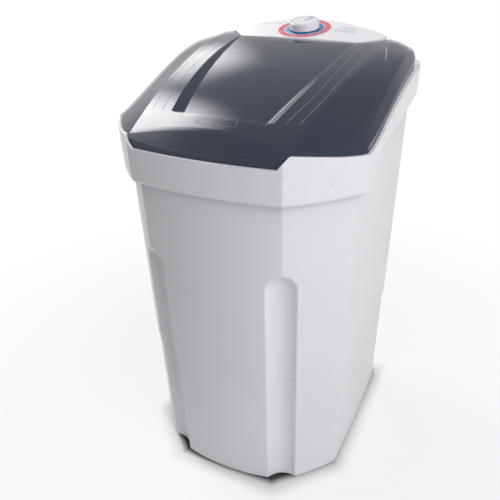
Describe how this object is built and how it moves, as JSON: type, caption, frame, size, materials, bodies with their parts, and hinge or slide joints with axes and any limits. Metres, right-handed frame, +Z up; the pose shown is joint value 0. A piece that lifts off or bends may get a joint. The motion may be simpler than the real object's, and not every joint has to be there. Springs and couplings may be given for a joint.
{
  "type": "semi-automatic washing machine",
  "caption": "Small upright top-loading washing tub with tinted domed lid, tilted timer panel and belt-driven impeller.",
  "frame": {"origin": "on the floor under the middle of the machine's bounding box", "axes": "+Z up, +X to the right seen from the front, -Y towards the user at the front, +Y to the control panel at the back"},
  "size_m": [0.5196, 0.5288, 0.9337],
  "materials": {
    "casing_white": "smooth semi-gloss moulding",
    "collar_white": "smooth semi-gloss moulding",
    "panel_white": "smooth semi-gloss moulding",
    "dial_print": "printed rings, red outside and blue inside",
    "knob_white": "smooth gloss",
    "knob_cap_grey": "smooth gloss with a dark pointer",
    "lid_tint": "clear, dark blue-grey tinted plastic",
    "tub_white": "satin moulding",
    "impeller_blue": "smooth gloss",
    "dark_plastic": "fine texture",
    "filter_blue": "satin",
    "filter_white": "satin",
    "black_rubber": "matt",
    "hose_grey": "matt",
    "cast_alloy": "as cast, machined grooves",
    "bush_bronze": "sintered",
    "steel_bright": "bright zinc",
    "steel_plated": "zinc plated sheet",
    "motor_grey": "satin paint",
    "can_alloy": "drawn can"
  },
  "bodies": {
    "casing": {"cabinet_shell": "casing_white", "base_skirt": "casing_white", "top_collar": "collar_white", "control_panel": "panel_white", "dial_plate": "dial_print", "wash_tub": "tub_white", "bottom_plate": "dark_plastic", "timer_body": "dark_plastic", "drain_outlet": "dark_plastic", "drain_spigot": "dark_plastic", "capacitor_clip": "dark_plastic", "filter_holder": "filter_white", "drain_grille": "filter_white", "cord_gland": "black_rubber", "shaft_seal": "black_rubber", "drive_belt": "black_rubber", "foot_1": "black_rubber", "foot_2": "black_rubber", "foot_3": "black_rubber", "foot_4": "black_rubber", "motor_mount_1": "black_rubber", "motor_mount_2": "black_rubber", "motor_mount_3": "black_rubber", "motor_mount_4": "black_rubber", "drain_hose": "hose_grey", "bearing_housing": "cast_alloy", "bush_upper": "bush_bronze", "bush_lower": "bush_bronze", "hinge_pin_left": "steel_bright", "hinge_pin_right": "steel_bright", "bracket_bolt_1": "steel_bright", "bracket_bolt_2": "steel_bright", "bracket_bolt_3": "steel_bright", "bracket_bolt_4": "steel_bright", "plate_screw_1": "steel_bright", "plate_screw_2": "steel_bright", "plate_screw_3": "steel_bright", "plate_screw_4": "steel_bright", "motor_bracket": "steel_plated", "motor": "motor_grey", "capacitor": "can_alloy"},
    "lid": {"lid": "lid_tint"},
    "timer_knob": {"timer_knob": "knob_white", "knob_cap": "knob_cap_grey", "timer_shaft": "steel_bright"},
    "impeller": {"impeller": "impeller_blue", "impeller_cap": "impeller_blue", "impeller_shaft": "steel_bright", "driven_pulley": "cast_alloy", "shaft_nut": "steel_bright"},
    "motor_rotor": {"rotor_shaft": "steel_bright", "motor_pulley": "cast_alloy", "cooling_fan": "dark_plastic"},
    "lint_filter": {"lint_filter": "filter_blue"}
  },
  "joints": [
    {"name": "lid_hinge", "type": "hinge", "parent": "casing", "child": "lid", "pos_m": [0, 0.252, 0.874], "axis": [-1, 0, 0], "range_deg": [0, 98]},
    {"name": "timer_turn", "type": "hinge", "parent": "casing", "child": "timer_knob", "pos_m": [0, 0.2055, 0.9121], "axis": [0, 0.2079, -0.9781], "range_deg": [0, 330]},
    {"name": "impeller_spin", "type": "hinge", "parent": "casing", "child": "impeller", "pos_m": [0, -0.041, 0.3], "axis": [0, 0, 1], "continuous": true},
    {"name": "motor_spin", "type": "hinge", "parent": "casing", "child": "motor_rotor", "pos_m": [0, 0.109, 0.2], "axis": [0, 0, 1], "continuous": true},
    {"name": "filter_lift", "type": "slide", "parent": "casing", "child": "lint_filter", "axis": [0, 0.0373, 0.9993], "range_m": [0, 0.13]}
  ],
  "couplings": [
    {"joint": "motor_spin", "follows": "impeller_spin", "ratio": 5.2623}
  ]
}
